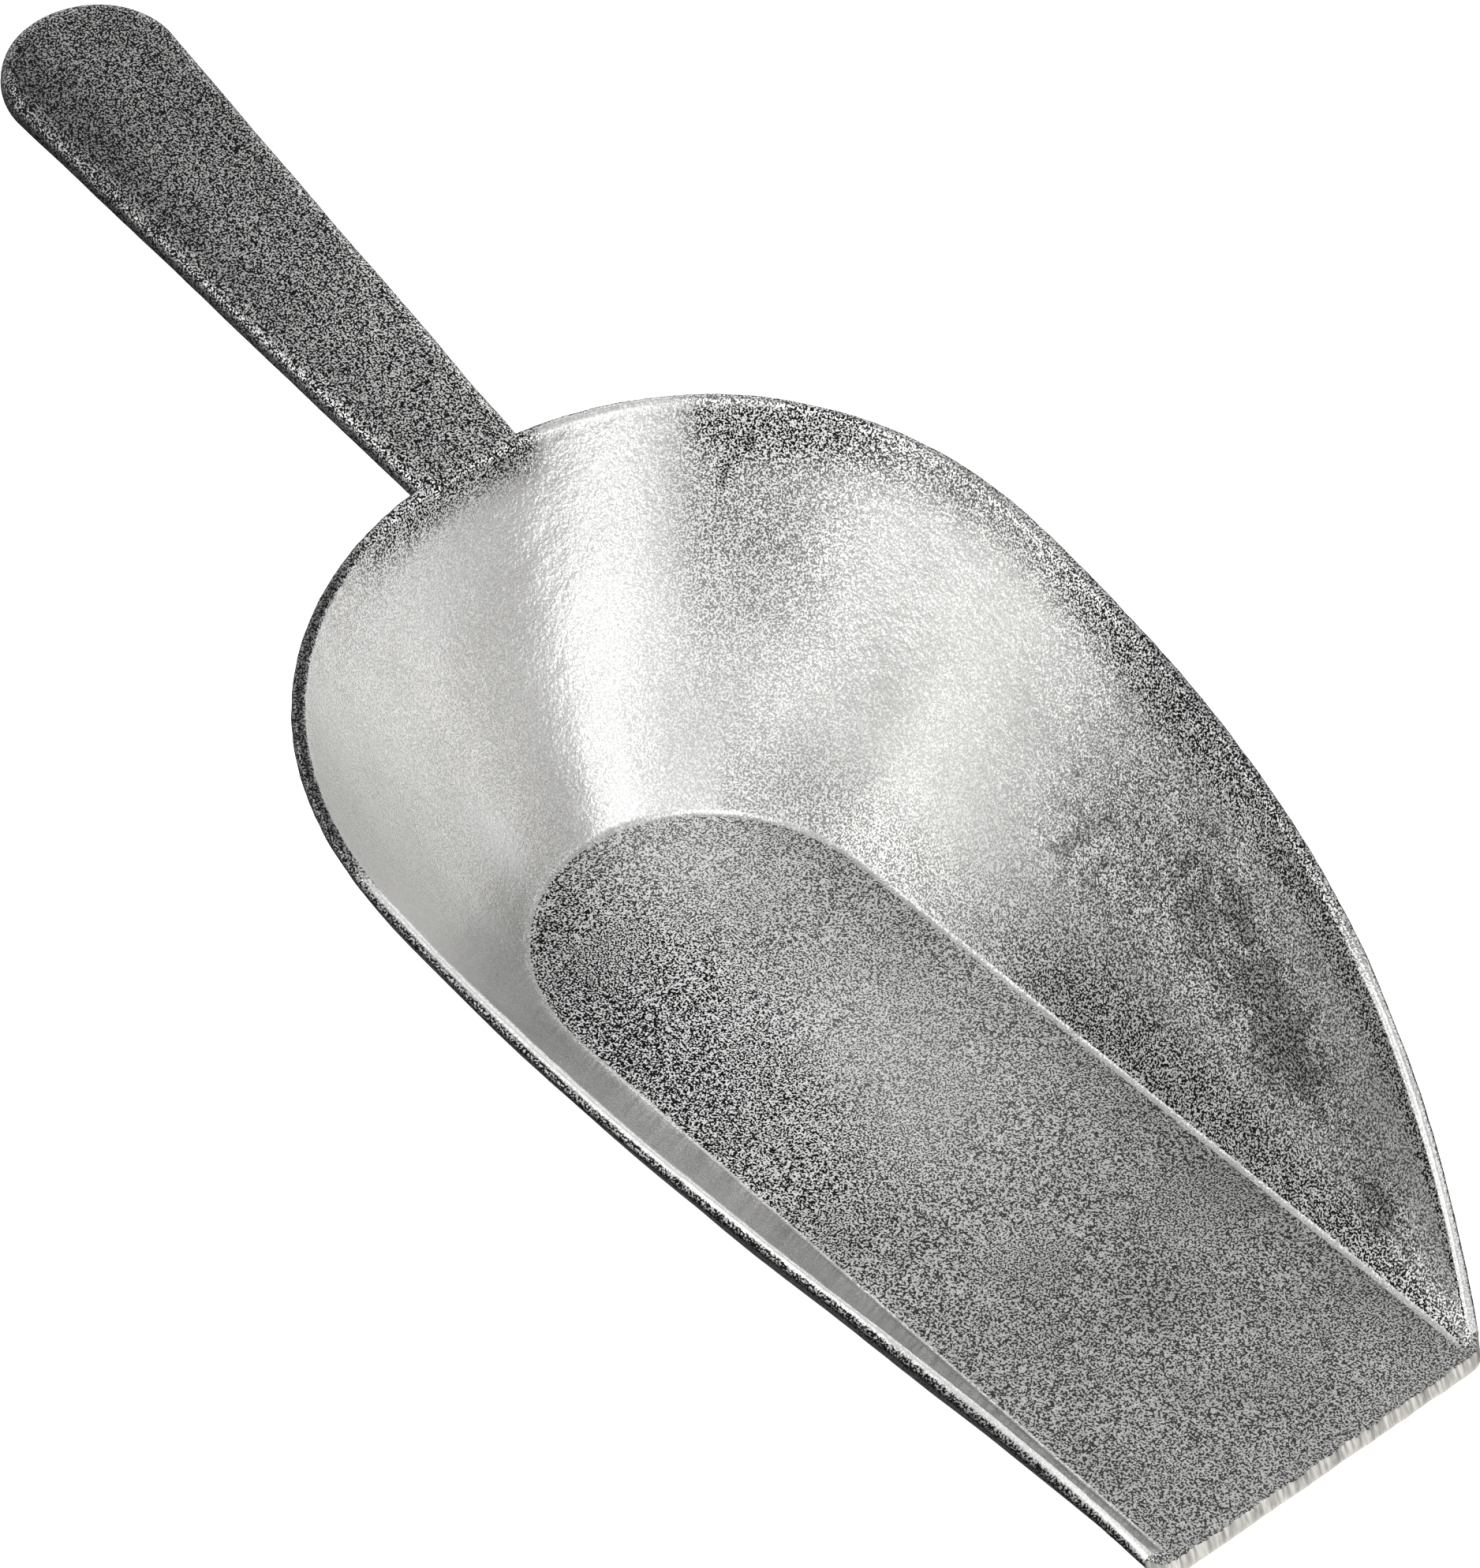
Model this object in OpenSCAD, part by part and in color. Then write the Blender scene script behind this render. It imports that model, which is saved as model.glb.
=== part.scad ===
// One-piece cast-aluminium scoop: a flat-bottomed bowl with flared walls and a straight flat handle.
// The casting is drawn as the regions that it is made of, which meet face to face.
// The origin is under the middle of the whole length, on the face that the scoop rests on.
// +X runs from the handle to the pouring lip, +Z is up, and the plane y = 0 is the mirror plane.

/* [Floor] */
// Width of the flat floor where its round back end meets the straight sides
floor_back_w = 75; // [70:1:82]
// Width of the flat floor at the pouring lip
floor_front_w = 77; // [74:1:79]
// Length of the round back end of the floor
floor_back_l = 41; // [36:1:46]
// Length of the straight sides of the floor
side_l = 172.5; // [150:0.5:190]
// Thickness of the casting in the floor and the walls
wall_t = 3; // [2.6:0.1:3.4]

/* [Bowl] */
// Largest width of the bowl, over the rim
bowl_w = 169; // [156:1:178]
// Length of the round back end of the rim
rim_back_l = 79; // [74:0.2:86]
// Fullness of the rim's round back end: 1 gives half an ellipse, a higher one a squarer end
rim_fullness = 1.06; // [1:0.01:1.08]
// Width over the rim where it runs out into the lip
rim_front_w = 87.8; // [87:0.2:92]
// Height of the rim's middle line above the rest face, at the handle
rim_h = 83; // [76:0.5:90]
// Height that the rim still has over the floor where it runs out into the lip
rim_tip_h = 1.4; // [0.8:0.1:1.8]
// Share of the rim's fall that is a steady slope, the rest being the curl at the front
rim_slope_share = 0.55; // [0.4:0.05:0.7]
// Power of the rim's curl: a higher one keeps the rim up for longer
rim_curl = 5.8; // [4:0.1:7]
// Power of the rim's taper in plan: a higher one keeps the bowl wide for longer
rim_taper = 2.3; // [2:0.1:3]
// Radius of the inside fillet between the floor and the walls
fillet_r = 1.8; // [1.5:0.1:4]
// How much flatter a wall starts than a straight one would, as a share of its slope
wall_bow = 0.14; // [0.05:0.01:0.2]

/* [Pouring lip] */
// Length of the ground strip in front of the floor
lip_l = 4.5; // [4:0.5:8]
// How far the top edge of the ground face lies behind its bottom edge
lip_bevel = 1.4; // [0.8:0.1:2]
// Radius of the lip's two corners in plan
lip_corner_r = 5.5; // [3:0.5:6]

/* [Handle] */
// Width of the handle at the rim
handle_root_w = 26; // [24:0.2:28]
// Width of the handle where its round end begins
handle_end_w = 40; // [32:0.2:42]
// Reach of the handle behind the rim, measured along the ground
handle_reach = 138.6; // [110:0.2:150]
// Rise of the handle above the level
handle_pitch = 12.2; // [8:0.1:15]
// Height of the handle's top face over the rim's middle line, at the rim
handle_step = 2.1; // [1.5:0.1:3]
// Thickness of the handle
handle_t = 6.8; // [6:0.1:8]
// Length of the handle's round end
handle_tip_l = 18.3; // [12:0.1:19]
// Radius of the handle's top shoulders
shoulder_r = 3.5; // [2:0.1:4]
// Radius of the handle's bottom edges
handle_bottom_r = 2; // [1:0.1:2.5]
// Length of the neck between the bowl and the plain handle
neck_l = 14; // [12:1:20]

/* [Hidden] */

cast_bright = [0.78, 0.79, 0.80];
cast_mid = [0.62, 0.63, 0.64];
cast_dark = [0.42, 0.43, 0.45];
ground_bare = [0.76, 0.74, 0.70];

// Middle line of the wall's thickness: the rim's half width, back length and end width
half_t = wall_t / 2;
rim_half_w = bowl_w / 2 - half_t;
rim_mid_l = rim_back_l - half_t;
rim_tip_w = rim_front_w / 2 - half_t;
mid_fillet_r = fillet_r + half_t;

// Steps round the bowl: 0 is the back centre, 1 the start of a straight side and 2 the lip
back_steps = 20;
side_steps = 30;
fillet_steps = 3;
wall_steps = 16;
round_angles = [60, 20, -20, -60];

// A point of the floor's outline, and of the rim's middle line, at step s; s > 0 is the +Y side
function floor_xy(s) =
    abs(s) <= 1
        ? [-floor_back_l * cos(90 * s), floor_back_w / 2 * sin(90 * s)]
        : [side_l * (abs(s) - 1), sign(s) * (floor_back_w + (floor_front_w - floor_back_w) * (abs(s) - 1)) / 2];
function rim_xy(s) =
    abs(s) <= 1
        ? [-rim_mid_l * pow(cos(90 * s), 1 / rim_fullness),
           sign(s) * rim_half_w * pow(sin(90 * abs(s)), 1 / rim_fullness)]
        : [side_l * (abs(s) - 1),
           sign(s) * (rim_tip_w + (rim_half_w - rim_tip_w) * (1 - pow(abs(s) - 1, rim_taper)))];

// Height of the rim's middle line over the floor's middle plane, at x
function rim_rise(x) =
    let (f = (x + rim_mid_l) / (side_l + rim_mid_l))
    rim_tip_h + (rim_h - half_t - rim_tip_h)
        * (1 - rim_slope_share * f - (1 - rim_slope_share) * pow(f, rim_curl));

// Middle line of a wall's section as [out, up, slope]: a fillet off the floor, then a bowed flank
function section_line(reach, rise) =
    let (
        away = norm([reach, rise - mid_fillet_r]),
        straight = atan2(rise - mid_fillet_r, reach) - acos(mid_fillet_r / away) + 90,
        start = straight * (1 - wall_bow),
        foot = mid_fillet_r * [sin(start), 1 - cos(start)],
        run = [reach, rise] - foot,
        chord = atan2(run.y, run.x),
        sag = norm(run) * tan(chord - start) / 4,
        across = [-sin(chord), cos(chord)]
    )
    concat(
        [for (i = [0 : fillet_steps - 1])
            let (a = start * i / fillet_steps)
            [mid_fillet_r * sin(a), mid_fillet_r * (1 - cos(a)), a]],
        [for (i = [0 : wall_steps])
            let (
                v = i / wall_steps,
                p = foot + run * v - across * 4 * sag * v * (1 - v),
                slope = chord - atan(4 * sag * (1 - 2 * v) / norm(run))
            )
            [p.x, p.y, slope]]
    );

// Closed section of the wall as [out, up]: inner face, round rim, outer face back to the floor
function section_ring(line) =
    let (top = line[len(line) - 1])
    concat(
        [for (p = line) [p.x - half_t * sin(p.z), p.y + half_t * cos(p.z)]],
        [for (a = round_angles) [top.x + half_t * cos(top.z + a), top.y + half_t * sin(top.z + a)]],
        [for (i = [len(line) - 1 : -1 : 0])
            let (p = line[i])
            [p.x + half_t * sin(p.z), p.y - half_t * cos(p.z)]]
    );

// The wall's closed section at step s, in place
function wall_ring(s) =
    let (
        foot = floor_xy(s),
        top = rim_xy(s),
        reach = norm(top - foot),
        out = (top - foot) / reach
    )
    [for (p = section_ring(section_line(reach, rim_rise(top.x))))
        [foot.x + p.x * out.x, foot.y + p.x * out.y, half_t + p.y]];

// The handle's own frame: along runs away from the bowl, across is Y and up is square to the top face
handle_origin = [-rim_back_l, 0, rim_h + handle_step];
handle_taper_l = handle_reach / cos(handle_pitch) - handle_tip_l;
function handle_half_w(along) =
    (handle_root_w + (handle_end_w - handle_root_w) * along / handle_taper_l) / 2;
function handle_point(along, across, up) =
    handle_origin + [
        -along * cos(handle_pitch) + up * sin(handle_pitch),
        across,
        along * sin(handle_pitch) + up * cos(handle_pitch)
    ];
function handle_along(p) =
    (p - handle_origin) * [-cos(handle_pitch), 0, sin(handle_pitch)];

// The handle's edge, from the bottom face to the top one, as [inset from its full width, up]
handle_edge = concat(
    [for (a = [0 : 45 : 90]) [handle_bottom_r * (1 - sin(a)), -handle_t + handle_bottom_r * (1 - cos(a))]],
    [for (a = [0 : 22.5 : 90]) [shoulder_r * (1 - cos(a)), -shoulder_r * (1 - sin(a))]]
);
edge_n = len(handle_edge);

// The handle's closed section as [across, up]: +Y edge, top face, -Y edge, bottom face.
// The faces have extra points at the given parts of their half width.
function handle_section(half_w, parts = []) =
    concat(
        [for (e = handle_edge) [half_w - e.x, e.y]],
        [for (part = parts) [part * (half_w - shoulder_r), 0]],
        [for (k = [edge_n - 1 : -1 : 0]) [handle_edge[k].x - half_w, handle_edge[k].y]],
        [for (part = parts) [-part * (half_w - handle_bottom_r), -handle_t]]
    );
function handle_ring(along, parts = []) =
    [for (p = handle_section(handle_half_w(along), parts)) handle_point(along, p.x, p.y)];

// The middle of the whole length, seen from where the straight sides begin
lip_x = side_l + lip_l;
handle_tip_x = min([for (e = handle_edge) handle_point(handle_taper_l + handle_tip_l - e.x, 0, e.y).x]);
centre_x = (lip_x + handle_tip_x) / 2;

// Two triangles for the square between corners a, b, c and d, listed clockwise from outside
function square_faces(a, b, c, d) = [[a, b, c], [a, c, d]];

// Faces that join ring r to ring r + 1, when each ring has n points
function skin_faces(rings, n) =
    [for (r = [0 : rings - 2], i = [0 : n - 1])
        let (j = (i + 1) % n)
        each square_faces(r * n + i, r * n + j, (r + 1) * n + j, (r + 1) * n + i)];

// Faces that close a thin ring whose two halves face each other point by point
function strip_faces(first, n) =
    [for (i = [0 : n / 2 - 2])
        each square_faces(first + i, first + n - 1 - i, first + n - 2 - i, first + i + 1)];
function turned(faces) = [for (f = faces) [for (k = [len(f) - 1 : -1 : 0]) f[k]]];

// A solid through the thin rings, closed at its first and last ones
module wall_loft(steps) {
    rings = [for (s = steps) wall_ring(s)];
    n = len(rings[0]);
    translate([-centre_x, 0, 0])
        polyhedron(
            points = [for (ring = rings) each ring],
            faces = concat(
                skin_faces(len(rings), n),
                strip_faces(0, n),
                turned(strip_faces((len(rings) - 1) * n, n))
            ),
            convexity = 4
        );
}

back_points = [for (i = [-back_steps : back_steps]) i / back_steps];

// Flat bottom of the bowl, with a round back end
module bowl_floor() {
    outline = [for (s = concat([-2], back_points, [2])) floor_xy(s)];
    color(cast_mid)
        translate([-centre_x, 0, 0])
            linear_extrude(height = wall_t)
                polygon(outline);
}

// Ground strip along the front of the bowl, with its bevelled face and round corners
module pouring_lip() {
    // The corners turn from the square front edge to the rim's slant
    corner_turn = 60;
    corner_x = lip_x - lip_corner_r;
    corner_y = (side_l * cos(corner_turn) + rim_front_w / 2 * sin(corner_turn)
        - lip_corner_r - corner_x * cos(corner_turn)) / sin(corner_turn);
    corner = [for (a = [corner_turn : -10 : 0])
        [corner_x + lip_corner_r * cos(a), corner_y + lip_corner_r * sin(a)]];
    outline = concat(
        [[side_l, rim_front_w / 2]],
        corner,
        [for (i = [len(corner) - 1 : -1 : 0]) [corner[i].x, -corner[i].y]],
        [[side_l, -rim_front_w / 2]]
    );
    color(ground_bare)
        translate([-centre_x, 0, 0])
            difference() {
                linear_extrude(height = wall_t)
                    polygon(outline);
                translate([lip_x, -bowl_w / 2, 0])
                    rotate([0, -atan(lip_bevel / wall_t), 0])
                        cube([lip_l, bowl_w, 2 * wall_t]);
            }
}

// Round back of the bowl, which carries the handle
module bowl_back_wall() {
    color(cast_bright)
        wall_loft(back_points);
}

// Wall on the +Y side, which falls from the back to the lip
module bowl_right_wall() {
    color(cast_mid)
        wall_loft([for (i = [0 : side_steps]) 1 + i / side_steps]);
}

// Wall on the -Y side, the mirror image of the other one
module bowl_left_wall() {
    mirror([0, 1, 0])
        bowl_right_wall();
}

// Neck that grows out of the back wall's outer face and its rim, and ends in the plain handle section
module handle_root() {
    // The patch of the back wall's skin that the neck stands on, column by column
    half_cols = 2;
    cols = 2 * half_cols + 1;
    inner_top = fillet_steps + wall_steps;
    patch = [for (c = [-half_cols : half_cols])
        let (ring = wall_ring(c / back_steps))
        [for (r = [0 : edge_n - 1]) ring[inner_top + r]]];
    // Places in the patch, by column and row, and the loop round its border in the handle section's order
    border = concat(
        [for (r = [edge_n - 1 : -1 : 0]) [cols - 1, r]],
        [for (c = [cols - 2 : -1 : 1]) [c, 0]],
        [for (r = [0 : edge_n - 1]) [0, r]],
        [for (c = [1 : cols - 2]) [c, edge_n - 1]]
    );
    n = len(border);
    // A section that follows the wall a little way off, then the plain one at the end of the neck
    stand_off = 1;
    parts = [for (c = [half_cols - 1 : -1 : 1 - half_cols]) c / half_cols];
    shape = handle_section(handle_half_w(0), parts);
    near_wall = [for (i = [0 : n - 1])
        let (p = patch[border[i].x][border[i].y])
        handle_point(handle_along(p) + stand_off, shape[i].x, shape[i].y)];
    grid_n = cols * edge_n;
    start = [for (b = border) b.x * edge_n + b.y];
    color(cast_dark)
        translate([-centre_x, 0, 0])
            polyhedron(
                points = concat(
                    [for (col = patch) each col],
                    near_wall,
                    handle_ring(neck_l, parts),
                    [handle_point(neck_l, 0, -handle_t / 2)]
                ),
                faces = concat(
                    [for (c = [0 : cols - 2], r = [0 : edge_n - 2])
                        each square_faces(c * edge_n + r, (c + 1) * edge_n + r,
                                          (c + 1) * edge_n + r + 1, c * edge_n + r + 1)],
                    [for (i = [0 : n - 1])
                        let (j = (i + 1) % n)
                        each square_faces(start[i], start[j], grid_n + j, grid_n + i)],
                    [for (i = [0 : n - 1])
                        let (j = (i + 1) % n)
                        each square_faces(grid_n + i, grid_n + j, grid_n + n + j, grid_n + n + i)],
                    [for (i = [0 : n - 1])
                        [grid_n + n + i, grid_n + n + (i + 1) % n, grid_n + 2 * n]]
                ),
                convexity = 4
            );
}

// Plain tapered bar of the handle
module handle_grip() {
    rings = [handle_ring(neck_l), handle_ring(handle_taper_l)];
    n = len(rings[0]);
    color(cast_dark)
        translate([-centre_x, 0, 0])
            polyhedron(
                points = [for (ring = rings) each ring],
                faces = concat(
                    skin_faces(2, n),
                    [[for (i = [n - 1 : -1 : 0]) i]],
                    [[for (i = [0 : n - 1]) n + i]]
                ),
                convexity = 2
            );
}

// Round end of the handle, with the shoulders carried round it
module handle_end() {
    // Layers from the bottom face to the top one, each a half oval
    turn_steps = 24;
    n = turn_steps + 1;
    layers = [for (e = handle_edge)
        [for (i = [0 : turn_steps])
            let (a = 90 - 180 * i / turn_steps)
            handle_point(
                handle_taper_l + (handle_tip_l - e.x) * cos(a),
                (handle_end_w / 2 - e.x) * sin(a),
                e.y
            )]];
    color(cast_dark)
        translate([-centre_x, 0, 0])
            polyhedron(
                points = [for (layer = layers) each layer],
                faces = concat(
                    skin_faces(edge_n, n),
                    [[for (i = [n - 1 : -1 : 0]) i]],
                    [[for (i = [0 : n - 1]) (edge_n - 1) * n + i]]
                ),
                convexity = 2
            );
}

bowl_floor();
pouring_lip();
bowl_back_wall();
bowl_left_wall();
bowl_right_wall();
handle_root();
handle_grip();
handle_end();
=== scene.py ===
"""Looks, lights and camera of a one-piece cast-aluminium scoop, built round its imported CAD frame."""
import math

import bmesh
import bpy
import numpy as np
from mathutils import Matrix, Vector


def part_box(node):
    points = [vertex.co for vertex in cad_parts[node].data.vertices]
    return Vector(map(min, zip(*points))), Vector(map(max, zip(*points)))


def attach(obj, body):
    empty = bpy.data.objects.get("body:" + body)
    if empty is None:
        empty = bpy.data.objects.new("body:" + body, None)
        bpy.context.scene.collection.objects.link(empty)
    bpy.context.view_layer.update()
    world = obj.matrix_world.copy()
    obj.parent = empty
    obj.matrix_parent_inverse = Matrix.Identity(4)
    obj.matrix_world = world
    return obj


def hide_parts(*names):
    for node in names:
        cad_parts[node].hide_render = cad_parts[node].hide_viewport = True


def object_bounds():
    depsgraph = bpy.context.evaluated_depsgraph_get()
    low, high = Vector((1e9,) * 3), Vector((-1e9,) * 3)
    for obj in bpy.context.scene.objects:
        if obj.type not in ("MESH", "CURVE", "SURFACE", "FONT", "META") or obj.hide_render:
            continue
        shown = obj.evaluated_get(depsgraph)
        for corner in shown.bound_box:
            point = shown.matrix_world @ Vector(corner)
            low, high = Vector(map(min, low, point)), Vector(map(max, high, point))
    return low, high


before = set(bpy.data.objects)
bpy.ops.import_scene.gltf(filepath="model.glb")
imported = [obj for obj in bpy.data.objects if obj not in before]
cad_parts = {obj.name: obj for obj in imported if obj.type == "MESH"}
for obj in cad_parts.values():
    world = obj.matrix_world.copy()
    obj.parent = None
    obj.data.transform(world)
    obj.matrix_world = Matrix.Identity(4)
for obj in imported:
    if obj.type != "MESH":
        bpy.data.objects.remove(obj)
cad_lo, cad_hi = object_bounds()

# Shapes are worked out in millimetres, in the CAD frame, and become metres when a mesh is made.
MM = 0.001


def span(node):
    """Lowest and highest corner of a CAD node, in millimetres."""
    lo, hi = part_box(node)
    return np.array(lo) / MM, np.array(hi) / MM


# ---------------------------------------------------------------- sizes

side_lo, side_hi = span("bowl_right_wall")
floor_lo, floor_hi = span("bowl_floor")
_, lip_hi = span("pouring_lip")

START_X = side_lo[0]                     # where the straight sides begin
SIDE_L = side_hi[0] - side_lo[0]
WALL_T = floor_hi[2] - floor_lo[2]
HALF_T = WALL_T / 2
LIP_X = lip_hi[0]
FLOOR_BACK_L = START_X - floor_lo[0]
FLOOR_FRONT_W = floor_hi[1] - floor_lo[1]
FLOOR_BACK_W = 75.0
BOWL_W = 169.0
RIM_BACK_L = 79.0
RIM_FULLNESS = 1.06
RIM_FRONT_W = 87.8
RIM_H = 83.0
RIM_TIP_H = 1.4
RIM_SLOPE_SHARE = 0.55
RIM_CURL = 5.8
RIM_TAPER = 2.3
FILLET_R = 1.8
WALL_BOW = 0.14
LIP_BEVEL = 1.4
LIP_CORNER_R = 5.5
LIP_CORNER_TURN = math.radians(60)

HANDLE_ROOT_W = 26.0
HANDLE_END_W = 40.0
HANDLE_REACH = 138.6
HANDLE_PITCH = math.radians(12.2)
HANDLE_STEP = 2.1
HANDLE_T = 6.8
HANDLE_TIP_L = 18.3
SHOULDER_R = 3.5
HANDLE_BOTTOM_R = 2.0
NECK_L = 14.0

RIM_HALF_W = BOWL_W / 2 - HALF_T
RIM_MID_L = RIM_BACK_L - HALF_T
RIM_TIP_W = RIM_FRONT_W / 2 - HALF_T
MID_FILLET_R = FILLET_R + HALF_T
HANDLE_TAPER_L = HANDLE_REACH / math.cos(HANDLE_PITCH) - HANDLE_TIP_L

# Mesh steps
STEP = 1.2
FILLET_STEPS = 6
WALL_STEPS = 66
ROUND_STEPS = 10
FLOOR_STEPS = 22
GHOST = 0.8                              # reach of the helper rows past the wall's foot


# ---------------------------------------------------------------- cast relief

def wave_set(seed, count, shortest, longest):
    """Directions, lengths and phases of plane waves that add up to a smooth random relief."""
    rng = np.random.default_rng(seed)
    direction = rng.normal(size=(count, 3))
    direction /= np.linalg.norm(direction, axis=1)[:, None]
    length = rng.uniform(shortest, longest, count)
    phase = rng.uniform(0, 2 * math.pi, count)
    return direction * (2 * math.pi / length)[:, None], phase


SWELL = wave_set(3, 18, 16, 42)          # slow swell of the sand mould
RIPPLE = wave_set(5, 24, 5, 12)          # lumps of a few millimetres
NIBBLE = wave_set(8, 24, 2.2, 5)         # uneven edges
TEETH = wave_set(13, 24, 0.9, 2.0)       # ragged edge of the ground face

SWELL_DEPTH = 0.16
RIPPLE_DEPTH = 0.05
NIBBLE_DEPTH = 0.1
DOWN_INSET = 0.3                         # keeps faces that look down above the resting plane


def waves(points, wave):
    """Sum of the waves at the points, about -1 to 1."""
    vectors, phase = wave
    total = np.zeros(points.shape[:-1])
    for k, shift in zip(vectors, phase):
        total += np.sin(points @ k + shift)
    return total / (2.2 * math.sqrt(len(phase)))


def relief(points, facing, edge=0.0):
    """Moves points along their facing by the casting's relief; faces that look down only move in."""
    down = np.clip((-facing[..., 2] - 0.7) / 0.3, 0, 1)
    depth = SWELL_DEPTH * waves(points, SWELL) + RIPPLE_DEPTH * waves(points, RIPPLE)
    depth += NIBBLE_DEPTH * edge * waves(points, NIBBLE)
    depth -= DOWN_INSET * down
    return points + depth[..., None] * facing


# ---------------------------------------------------------------- bowl formulas

def floor_xy(s):
    """Floor outline at step s: 0 is the back centre, 1 the start of a straight side, 2 the lip."""
    a = np.abs(s)
    turn = np.minimum(a, 1) * math.pi / 2
    x = np.where(a <= 1, -FLOOR_BACK_L * np.cos(turn), SIDE_L * (a - 1))
    wide = FLOOR_BACK_W + (FLOOR_FRONT_W - FLOOR_BACK_W) * np.maximum(a - 1, 0)
    y = np.sign(s) * np.where(a <= 1, FLOOR_BACK_W * np.sin(turn), wide) / 2
    return np.stack([x, y], -1)


def rim_xy(s):
    """Middle line of the rim at step s."""
    a = np.abs(s)
    turn = np.minimum(a, 1) * math.pi / 2
    along = np.maximum(a - 1, 0)
    x = np.where(a <= 1, -RIM_MID_L * np.cos(turn) ** (1 / RIM_FULLNESS), SIDE_L * along)
    wide = RIM_TIP_W + (RIM_HALF_W - RIM_TIP_W) * (1 - along ** RIM_TAPER)
    y = np.sign(s) * np.where(a <= 1, RIM_HALF_W * np.sin(turn) ** (1 / RIM_FULLNESS), wide)
    return np.stack([x, y], -1)


def rim_step(y):
    """Step at which the rim's round back end reaches y."""
    share = np.clip(np.abs(y) / RIM_HALF_W, 0, 1) ** RIM_FULLNESS
    return np.sign(y) * np.arcsin(share) * 2 / math.pi


def rim_rise(x):
    """Height of the rim's middle line over the floor's middle plane."""
    f = (x + RIM_MID_L) / (SIDE_L + RIM_MID_L)
    fall = RIM_SLOPE_SHARE * f + (1 - RIM_SLOPE_SHARE) * f ** RIM_CURL
    return RIM_TIP_H + (RIM_H - HALF_T - RIM_TIP_H) * (1 - fall)


def wall_line(reach, rise):
    """Middle line of the wall's section as (out, up, slope), from the floor to the rim."""
    away = np.hypot(reach, rise - MID_FILLET_R)
    straight = np.arctan2(rise - MID_FILLET_R, reach) - np.arccos(MID_FILLET_R / away) + math.pi / 2
    start = straight * (1 - WALL_BOW)
    turn = start[:, None] * np.arange(FILLET_STEPS) / FILLET_STEPS
    fillet = np.stack([MID_FILLET_R * np.sin(turn), MID_FILLET_R * (1 - np.cos(turn)), turn], -1)
    foot = MID_FILLET_R * np.stack([np.sin(start), 1 - np.cos(start)], -1)
    run = np.stack([reach, rise], -1) - foot
    length = np.linalg.norm(run, axis=-1)[:, None]
    chord = np.arctan2(run[:, 1], run[:, 0])[:, None]
    sag = length * np.tan(chord - start[:, None]) / 4
    v = np.linspace(0, 1, WALL_STEPS + 1)[None, :]
    dip = 4 * sag * v * (1 - v)
    flank = np.stack([
        foot[:, :1] + run[:, :1] * v + np.sin(chord) * dip,
        foot[:, 1:] + run[:, 1:] * v - np.cos(chord) * dip,
        chord - np.arctan(4 * sag * (1 - 2 * v) / length),
    ], -1)
    ghost = np.zeros((len(reach), 1, 3))
    ghost[..., 0] = -GHOST
    return np.concatenate([ghost, fillet, flank], 1)


def wall_section(line):
    """Section round the wall as (out, up) with its facing: inner face, round rim, outer face."""
    normal = np.stack([-np.sin(line[..., 2]), np.cos(line[..., 2])], -1)
    top = line[:, -1:, :2]
    turn = line[:, -1:, 2] + np.linspace(math.pi / 2, -math.pi / 2, ROUND_STEPS + 1)[None, 1:-1]
    around = np.stack([np.cos(turn), np.sin(turn)], -1)
    inner = line[..., :2] + HALF_T * normal
    outer = (line[..., :2] - HALF_T * normal)[:, ::-1]
    points = np.concatenate([inner, top + HALF_T * around, outer], 1)
    facing = np.concatenate([normal, around, -normal[:, ::-1]], 1)
    return points, facing


def wall_skin(s):
    """Skin of the wall at the steps s, as arrays of points and facings, one row a step."""
    foot = floor_xy(s)
    top = rim_xy(s)
    reach = np.linalg.norm(top - foot, axis=-1)
    out = (top - foot) / reach[:, None]
    section, turned = wall_section(wall_line(reach, rim_rise(top[:, 0])))

    def placed(flat):
        """Section places or facings, turned to stand on the floor outline."""
        return np.concatenate([flat[..., :1] * out[:, None, :], flat[..., 1:]], -1)

    points = placed(section)
    points[..., :2] += foot[:, None, :]
    points[..., 2] += HALF_T
    points[..., 0] += START_X
    return points, placed(turned)


INNER_ROWS = 1 + FILLET_STEPS + WALL_STEPS + 1
SKIN_ROWS = 2 * INNER_ROWS + ROUND_STEPS - 1


def row_shares():
    """For each row of the skin: its height as a share of the wall, from the foot to the rim."""
    inner = np.concatenate([np.zeros(1 + FILLET_STEPS), np.linspace(0, 1, WALL_STEPS + 1)])
    return np.concatenate([inner, np.ones(ROUND_STEPS - 1), inner[::-1]])


def smooth(x, lo, hi):
    """Smooth step from 0 at lo to 1 at hi, which may be below lo."""
    t = np.clip((np.asarray(x, float) - lo) / (hi - lo), 0, 1)
    return t * t * (3 - 2 * t)


# ---------------------------------------------------------------- mesh helpers

def grid_faces(rows, cols, first=0, wrap=False):
    """Quads of a grid of rows x cols points, numbered row by row."""
    faces = []
    for r in range(rows - 1):
        for c in range(cols if wrap else cols - 1):
            d = (c + 1) % cols
            faces.append((first + r * cols + c, first + r * cols + d,
                          first + (r + 1) * cols + d, first + (r + 1) * cols + c))
    return faces


def closing_faces(rows, cols):
    """Quads that join the first and last column of a grid."""
    return [(r * cols, (r + 1) * cols, (r + 2) * cols - 1, (r + 1) * cols - 1) for r in range(rows - 1)]


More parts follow.
